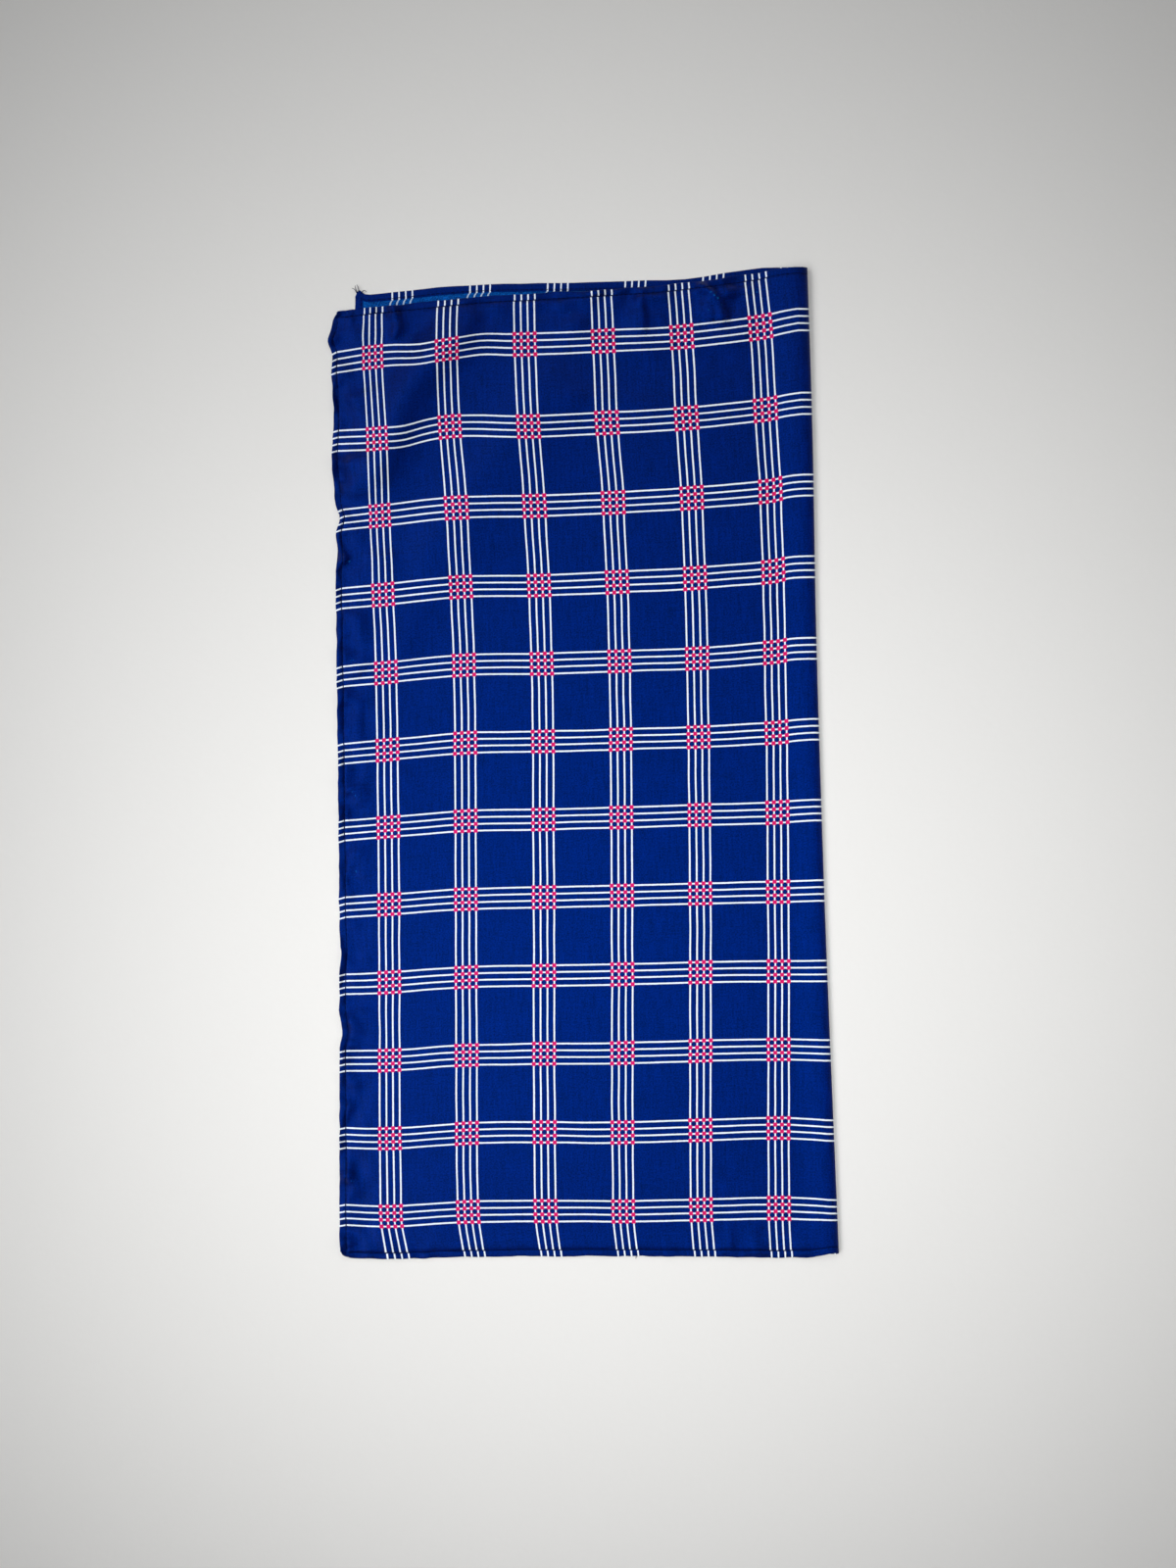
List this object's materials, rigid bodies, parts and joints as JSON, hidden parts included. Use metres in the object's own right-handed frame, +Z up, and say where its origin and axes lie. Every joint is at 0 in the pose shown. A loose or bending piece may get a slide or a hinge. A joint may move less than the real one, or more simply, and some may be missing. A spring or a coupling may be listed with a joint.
{
  "type": "folded bandana",
  "caption": "Square hemmed cotton bandana in a printed windowpane check, folded once into a flat rectangle with a soft loop along the fold.",
  "frame": {"origin": "middle of the underside, in the plane of the surface that the cloth lies on", "axes": "+X right across the folded cloth towards the fold, +Y up along the fold, +Z up from the surface"},
  "size_m": [0.2948, 0.5724, 0.0071],
  "materials": {
    "printed_cloth": "thin plain-woven cotton, navy ground printed with fine white lines that cross in pink squares, slightly lighter on the wrong side"
  },
  "bodies": {
    "root": {"bandana": "printed_cloth"}
  },
  "joints": []
}
